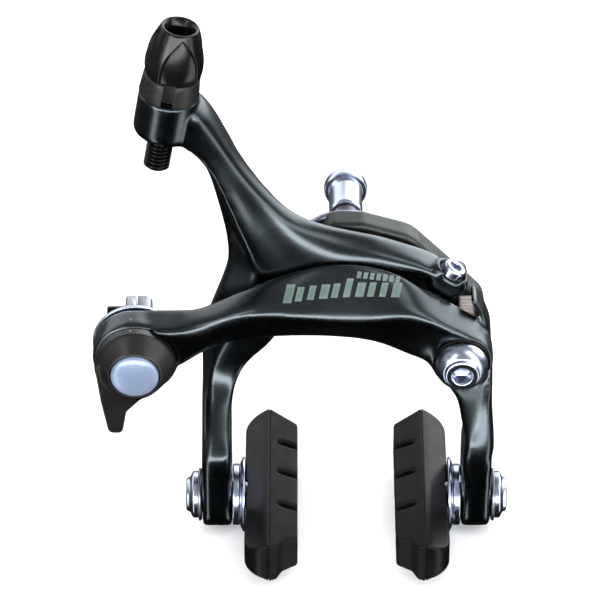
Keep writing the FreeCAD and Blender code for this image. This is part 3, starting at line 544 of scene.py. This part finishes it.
def long_nut():
    """Recessed nut with a hex socket in the head."""
    deep = 12.5
    profile = [
        (2.76, 0.3, 0.1), (3.3, 0, 0.1), (3.7, 0, 0.3), (3.93, 0.8, 0.2), (3.93, 9.65, 0.15),
        (5.0, 9.65, 0.3), (5.08, 10.2, 0.2), (5.08, deep - 0.7, 0.4), (4.6, deep, 0.3),
        (3.1, deep, 0.15), (2.5, deep - 0.5, 0.05, 6),
        (2.5, deep - 3.9, 0.05, 6), (1.98, 8.55, 0.05), (1.98, 8.0, 0), (2.76, 7.4, 0),
    ]
    mesh = turned("long_nut", profile, (0, NUT_FRONT_Y, 0), REAR, True, 35, 120)
    add_object("long_nut", mesh, "bright_steel", "recessed_nut", None, ["recessed_nut"])


def side_bolt():
    """Second pivot: domed head with a raised ring round its hex socket."""
    profile = [
        (0, -22.9, 0), (3.2, -22.9, 0.2), (3.45, -22.6, 0.1), (3.45, -17.5, 0.05), (4.0, -17.45, 0.1),
        (4.0, -0.1, 0.05), (5.85, 0.0, 0.2), (6.08, 0.35, 0.2), (5.98, 1.3, 0.3), (5.6, 2.3, 0.8),
        (4.95, 3.2, 0.8), (4.2, 3.85, 0.3), (4.02, 3.9, 0.1), (3.9, 4.1, 0.1), (3.85, 4.6, 0.25),
        (3.5, 4.82, 0.25), (2.45, 4.82, 0.15), (2.05, 4.45, 0.05, 6), (2.05, 1.6, 0.05, 6), (0, 1.2, 0),
    ]
    mesh = turned("side_bolt", profile, (SIDE_X, -26.55, SIDE_Z), FRONT, False, 38, 144)
    add_object("side_bolt", mesh, "bright_steel", "mount", None, ["side_pivot_bolt"])


def small_screw():
    """Centring screw in the nose of the rear arm."""
    end = SCREW_LENGTH
    profile = [
        (0, 1.75, 0), (1.27, 1.7, 0.05, 6), (1.27, 0.25, 0.05, 6), (1.6, 0.02, 0.1), (2.35, 0.02, 0.2),
        (2.68, 0.45, 0.3), (2.68, 2.4, 0.15), (1.5, 2.5, 0.1), (1.48, end - 1.5, 0.5), (1.2, end - 0.55, 0.4),
        (0.6, end - 0.1, 0.3), (0, end - 0.02, 0),
    ]
    mesh = turned("small_screw", profile, SCREW_TOP, SCREW_DIR, False, 35)
    add_object("small_screw", mesh, "bright_steel", "centring_screw", None, ["centring_screw"])


def spring():
    """Wire arch with both ends turned forward."""
    y, bend = -1.5, 2.6
    first, last = math.radians(188), math.radians(8)
    past = bend / SPRING_R

    def on_arch(angle, depth):
        return (SPRING_R * math.cos(angle), depth, SPRING_R * math.sin(angle))

    path = [on_arch(first, h) for h in np.linspace(-8.8, y - bend, 8)]
    turn = np.linspace(0, math.pi / 2, 9)[1:]
    path += [on_arch(first - past * (1 - math.cos(t)), y - bend * (1 - math.sin(t))) for t in turn]
    path += [on_arch(a, y) for a in np.linspace(first - past, last + past, 60)[1:-1]]
    path += [on_arch(last + past * (1 - math.cos(t)), y - bend * (1 - math.sin(t))) for t in turn[::-1]]
    path += [on_arch(last, h) for h in np.linspace(y - bend, -8.7, 8)]
    add_object("spring_wire", sweep("spring_wire", path, SPRING_WIRE_R), "spring_steel", "mount", None,
               ["return_spring"])


def cut_parts():
    """Parts that are flat or milled and only need their edges broken."""
    table = [
        ("seating_washer", "mount", "steel", 0.12),
        ("pivot_nut", "mount", "steel", 0.3),
        ("spring_shoe", "right_arm", "pale_plastic", 0.1),
        ("quick_release_shaft", "quick_release", "steel", 0.15),
        ("anchor_block", "cable_anchor", "steel", 0.3),
        ("clamp_plate", "cable_anchor", "steel", 0.3),
        ("clamp_bolt", "cable_anchor", "black_steel", 0.5),
    ]
    for node, body, slot, width in table:
        add_object(node + "_cut", bevelled(node, node + "_cut", width), slot, body, None, [node])


# ---- quick release ----

def lever():
    """Quick-release lever and the pale cap on it."""
    mesh = softened("quick_release_lever", "lever", 0.2, 6)
    add_object("lever", mesh, "lever_black", "quick_release", None, ["quick_release_lever"])
    profile = [
        (0, 0, 0), (5.2, 0, 0.15), (5.48, 0.3, 0.2), (5.48, 0.95, 0.3), (5.1, 1.45, 0.5),
        (4.2, 1.85, 1.0), (2.4, 2.25, 1.2), (0, 2.39, 0),
    ]
    add_object("cap", turned("cap", profile, (QR_X, QR_CAP_Y, QR_Z), FRONT, False, 40), "bright_steel",
               "quick_release", "cap_blue", ["quick_release_cap"])


# ---- pads ----

def away_from_seam(x, y, z):
    """The edge where block and holder meet stays sharp."""
    return np.minimum(1, np.abs(np.abs(x) - PAD_RIDGE) / 1.5)


# Turned rings of a pad: name, body, slot, distance from the middle, profile.
PAD_RINGS = [
    ("dished_washer", "pad", "bright_steel", PAD_BACK, [
        (3.0, 0, 0.1), (8.6, 0, 0.15), (8.68, 0.45, 0.2), (7.2, 1.18, 0.6), (3.0, 1.18, 0.1)]),
    ("spacer_washer", "pad_clamp", "bright_steel", PAD_BACK + 1.2, [
        (3.04, 0.03, 0.1), (6.95, 0.03, 0.2), (7.1, 0.25, 0.2), (7.1, 1.45, 0.2), (6.9, 1.65, 0.2),
        (3.04, 1.65, 0.1)]),
    ("outer_washer", "pad_clamp", "steel", LEG_OUT + 0.05, [
        (3.04, 0.1, 0.1), (5.75, 0.1, 0.2), (6.12, 0.42, 0.2), (6.12, 0.88, 0.2), (3.04, 0.88, 0.1)]),
    ("pad_nut", "pad_clamp", "bright_steel", LEG_OUT + 0.95, [
        (3.04, 0, 0.1), (5.4, 0, 0.15), (5.45, 1.15, 0.3), (4.95, 1.6, 0.3), (4.1, 1.9, 0.5),
        (3.75, 2.75, 0.3), (3.3, 2.88, 0.1), (3.04, 2.7, 0.05)]),
]

STUD_START = 19.4
STUD = [
    (0, 0, 0), (2.98, 0, 0.1), (2.98, 17.1, 0.2), (2.4, 17.18, 0.1), (2.0, 16.9, 0.05, 6),
    (2.0, 15.0, 0.05, 6), (0, 14.8, 0),
]


def pads():
    """Both brake pads with their bolts, washers and nuts."""
    for side, sign in (("left", -1), ("right", 1)):
        out = Vector((sign, 0, 0))
        for node, slot, name, rounds in (("brake_block", "pad_rubber", "block", 8),
                                         ("pad_holder", "pad_back", "holder", 12)):
            node, name = side + "_" + node, side + "_" + name
            mesh = softened(node, name, 0.25, rounds, away_from_seam)
            add_object(name, mesh, slot, side + "_pad", None, [node])
        for ring, body, slot, x, profile in PAD_RINGS:
            node = side + "_" + ring
            mesh = turned(node + "_turned", profile, (sign * x, PAD_Y, PAD_Z), out, True, 35)
            add_object(node + "_turned", mesh, slot, side + "_" + body, None, [node])
        node = side + "_pad_stud"
        mesh = turned(node + "_turned", STUD, (sign * STUD_START, PAD_Y, PAD_Z), out, False, 35)
        add_object(node + "_turned", mesh, "steel", side + "_pad", None, [node])


# ---- marks ----

MARK_HALF = 0.04 * MM
RAY_START = 0.1


def from_angle(azimuth, elevation, distance):
    """Point at so many metres from the middle; azimuth nought is the front."""
    a, e = math.radians(azimuth), math.radians(elevation)
    return Vector((math.sin(a) * math.cos(e), -math.cos(a) * math.cos(e), math.sin(e))) * distance


def on_surface(name, tree, corners, across, along, body):
    """Thin plate that follows a surface under four places, given as X and height in the tilted view."""
    look = -from_angle(0, VIEW_TILT, 1.0)
    grid = []
    for s in np.linspace(0, 1, along + 1):
        for t in np.linspace(0, 1, across + 1):
            low = (1 - t) * np.array(corners[0]) + t * np.array(corners[1])
            high = (1 - t) * np.array(corners[3]) + t * np.array(corners[2])
            x, rise = (1 - s) * low + s * high
            start = Vector((x, 0, rise / math.cos(math.radians(VIEW_TILT)))) * MM - look * RAY_START
            spot, normal, _, _ = tree.ray_cast(start, look)
            if spot is None:
                return
            grid.append((spot, normal))
    row = across + 1
    count = len(grid)
    points = [spot - normal * MARK_HALF for spot, normal in grid]
    points += [spot + normal * MARK_HALF for spot, normal in grid]
    faces = []
    for i in range(along):
        for j in range(across):
            a, b, c, d = i * row + j, i * row + j + 1, (i + 1) * row + j + 1, (i + 1) * row + j
            faces.append((count + a, count + b, count + c, count + d))
            faces.append((d, c, b, a))
    rim = list(range(across + 1)) + [i * row + across for i in range(1, along + 1)]
    rim += [along * row + j for j in range(across - 1, -1, -1)] + [i * row for i in range(along - 1, 0, -1)]
    for a, b in zip(rim, rim[1:] + rim[:1]):
        faces.append((a, b, count + b, count + a))
    mesh = bpy.data.meshes.new(name)
    mesh.from_pydata(points, [], faces)
    add_object(name, mesh, "mark", body, "marking")


def surface_of(name):
    """Search tree over a piece's mesh."""
    mesh = bpy.data.objects[name].data
    return BVHTree.FromPolygons([v.co for v in mesh.vertices], [p.vertices[:] for p in mesh.polygons])


def markings():
    """Two rows of slanted bars on the face of the front arm, and the two index dots of the quick release."""
    arm = surface_of("front_arm")
    for i in range(11):
        x = -14.6 + i * 2.7
        base = -9.35 - 0.0042 * (x - 4) ** 2
        wide = 1.5 if i % 3 else 1.9
        tall = 4.2 if i % 5 == 0 else 3.2
        slant = 0.24 * tall
        corners = [(x, base), (x + wide, base), (x + wide + slant, base + tall), (x + slant, base + tall)]
        on_surface("bar_large_%02d" % i, arm, corners, 3, 8, "right_arm")
    for i in range(9):
        x = 2.0 + i * 1.45
        base = -5.1 - 0.12 * (x - 2)
        corners = [(x, base), (x + 0.95, base - 0.1), (x + 1.25, base + 1.35), (x + 0.3, base + 1.45)]
        on_surface("bar_small_%02d" % i, arm, corners, 2, 4, "right_arm")
    x = -49.2
    for name, tree, low, body in (("dot_arm", arm, -14.7, "right_arm"),
                                  ("dot_lever", surface_of("lever"), -17.3, "quick_release")):
        corners = [(x, low), (x + 0.5, low), (x + 0.5, low + 0.4), (x, low + 0.4)]
        on_surface(name, tree, corners, 2, 2, body)


arms()
knob()
stem()
collar()
rings_and_bushes()
main_bolt()
long_nut()
side_bolt()
small_screw()
spring()
cut_parts()
lever()
pads()
markings()

for part in frame["record"]["subparts"]:
    node = frame["nodes"][part["node"]]
    node.data.materials.clear()
    node.data.materials.append(finishes[part["material_slot"]])


# ---- stage ----

TARGET = Vector((-0.0107, -0.0059, -0.0082))

# Lamps: name, azimuth, elevation, distance, width, height, power.
LAMPS = [
    ("front_strip", 5, 16, 1.2, 1.3, 0.16, 9),
    ("front_top", 15, 58, 1.0, 0.9, 0.5, 4),
    ("back_top", 180, 42, 1.0, 1.2, 0.18, 6),
    ("left_strip", -48, 15, 1.0, 0.14, 1.0, 8),
    ("right_strip", 60, 20, 1.0, 0.12, 1.0, 5),
]

# Steps of the dim room: lower and upper height, fade, brightness.
GRADIENT = [(-1.1, 1.1, 0.1, 0.02), (-0.30, 1.1, 0.28, 0.16), (0.40, 1.1, 0.4, 0.34)]

# A panel shows only on its own side of the room: least part of the direction towards it, and fade.
PANEL_AHEAD, PANEL_AHEAD_FADE = 0.1, 0.1

# Bright panels: azimuth, half width, fade, lower and upper height, fade, brightness.
PANELS = [
    (0, 0.55, 0.35, 0.08, 0.28, 0.13, 13.0),
    (-42, 0.07, 0.08, -0.75, 0.75, 0.15, 5.0),
    (62, 0.10, 0.16, -0.70, 0.85, 0.15, 4.0),
    (180, 0.9, 0.2, 0.15, 0.55, 0.15, 1.8),
    (140, 0.35, 0.25, 0.05, 0.60, 0.2, 3.6),
]


def area_light(name, azimuth, elevation, distance, width, height, power):
    """Rectangular lamp that faces the middle; it gives no reflection of its own."""
    place = TARGET + from_angle(azimuth, elevation, distance)
    light = bpy.data.lights.new(name, "AREA")
    light.shape = "RECTANGLE"
    light.size = width
    light.size_y = height
    light.energy = power
    lamp = bpy.data.objects.new(name, light)
    lamp.location = place
    lamp.rotation_mode = "QUATERNION"
    lamp.rotation_quaternion = (TARGET - place).to_track_quat("-Z", "Y")
    lamp.visible_glossy = False
    bpy.context.scene.collection.objects.link(lamp)


def between(tree, vector, axis, low, high, soft):
    """One where the direction's part along an axis lies between two values, fading to nought over soft."""
    dot = tree.nodes.new("ShaderNodeVectorMath")
    dot.operation = "DOT_PRODUCT"
    dot.inputs[1].default_value = axis
    tree.links.new(vector, dot.inputs[0])
    sides = []
    for start, stop, first, last in ((low - soft, low, 0, 1), (high, high + soft, 1, 0)):
        side = tree.nodes.new("ShaderNodeMapRange")
        side.interpolation_type = "SMOOTHSTEP"
        for socket, value in zip(("From Min", "From Max", "To Min", "To Max"), (start, stop, first, last)):
            side.inputs[socket].default_value = value
        tree.links.new(dot.outputs["Value"], side.inputs["Value"])
        sides.append(side.outputs["Result"])
    return combined(tree, "MULTIPLY", *sides)


def combined(tree, operation, first, second):
    """Sum or product of two values or outputs."""
    made = tree.nodes.new("ShaderNodeMath")
    made.operation = operation
    for socket, value in zip(made.inputs, (first, second)):
        if isinstance(value, (int, float)):
            socket.default_value = value
        else:
            tree.links.new(value, socket)
    return made.outputs["Value"]


def reflections():
    """White room for the eye and for soft light; a dim room with bright panels for reflections."""
    world = bpy.data.worlds.new("studio")
    bpy.context.scene.world = world
    world.use_nodes = True
    tree = world.node_tree
    tree.nodes.clear()
    out = tree.nodes.new("ShaderNodeOutputWorld")
    white = tree.nodes.new("ShaderNodeBackground")
    white.inputs["Color"].default_value = (1, 1, 1, 1)
    white.inputs["Strength"].default_value = 0.95
    vector = tree.nodes.new("ShaderNodeTexCoord").outputs["Generated"]

    up = (0, 0, 1)
    glow = None
    for low, high, soft, level in GRADIENT:
        step = combined(tree, "MULTIPLY", between(tree, vector, up, low, high, soft), level)
        glow = step if glow is None else combined(tree, "ADD", glow, step)
    for azimuth, half, soft, low, high, fade, level in PANELS:
        a = math.radians(azimuth)
        towards = (math.sin(a), -math.cos(a), 0)
        ahead = between(tree, vector, towards, PANEL_AHEAD, 2.0, PANEL_AHEAD_FADE)
        side = between(tree, vector, (math.cos(a), math.sin(a), 0), -half, half, soft)
        height = between(tree, vector, up, low, high, fade)
        panel = combined(tree, "MULTIPLY", combined(tree, "MULTIPLY", ahead, side), height)
        glow = combined(tree, "ADD", glow, combined(tree, "MULTIPLY", panel, level))

    dim = tree.nodes.new("ShaderNodeBackground")
    dim.inputs["Color"].default_value = (0.95, 0.98, 1.0, 1)
    tree.links.new(glow, dim.inputs["Strength"])
    path = tree.nodes.new("ShaderNodeLightPath")
    mix = tree.nodes.new("ShaderNodeMixShader")
    tree.links.new(path.outputs["Is Glossy Ray"], mix.inputs["Fac"])
    tree.links.new(white.outputs["Background"], mix.inputs[1])
    tree.links.new(dim.outputs["Background"], mix.inputs[2])
    tree.links.new(mix.outputs["Shader"], out.inputs["Surface"])


def camera():
    """Long lens at the height that shows the front and the tops."""
    data = bpy.data.cameras.new("camera")
    data.lens = 261.0
    data.sensor_width = 36.0
    data.clip_start = 0.01
    data.clip_end = 20.0
    made = bpy.data.objects.new("camera", data)
    bpy.context.scene.collection.objects.link(made)
    made.location = TARGET + from_angle(0, VIEW_TILT, 1.0)
    made.rotation_mode = "QUATERNION"
    made.rotation_quaternion = (TARGET - made.location).to_track_quat("-Z", "Y")
    bpy.context.scene.camera = made


def pale_floor():
    """Wide plain floor just under the pads."""
    mesh = bpy.data.meshes.new("floor")
    half = 6.0
    z = cad_box[0].z - 0.0002
    corners = [(-half, -half, z), (half, -half, z), (half, half, z), (-half, half, z)]
    mesh.from_pydata(corners, [], [(0, 1, 2, 3)])
    floor = bpy.data.objects.new("floor", mesh)
    bpy.context.scene.collection.objects.link(floor)
    pale = Finish("floor_pale", (0.93, 0.93, 0.93), 0.0, 0.7, Specular_IOR_Level=0.1)
    mesh.materials.append(pale.material)
    floor.visible_glossy = False


camera()
pale_floor()
reflections()
bpy.context.scene.view_settings.view_transform = "Standard"
for lamp in LAMPS:
    area_light(*lamp)
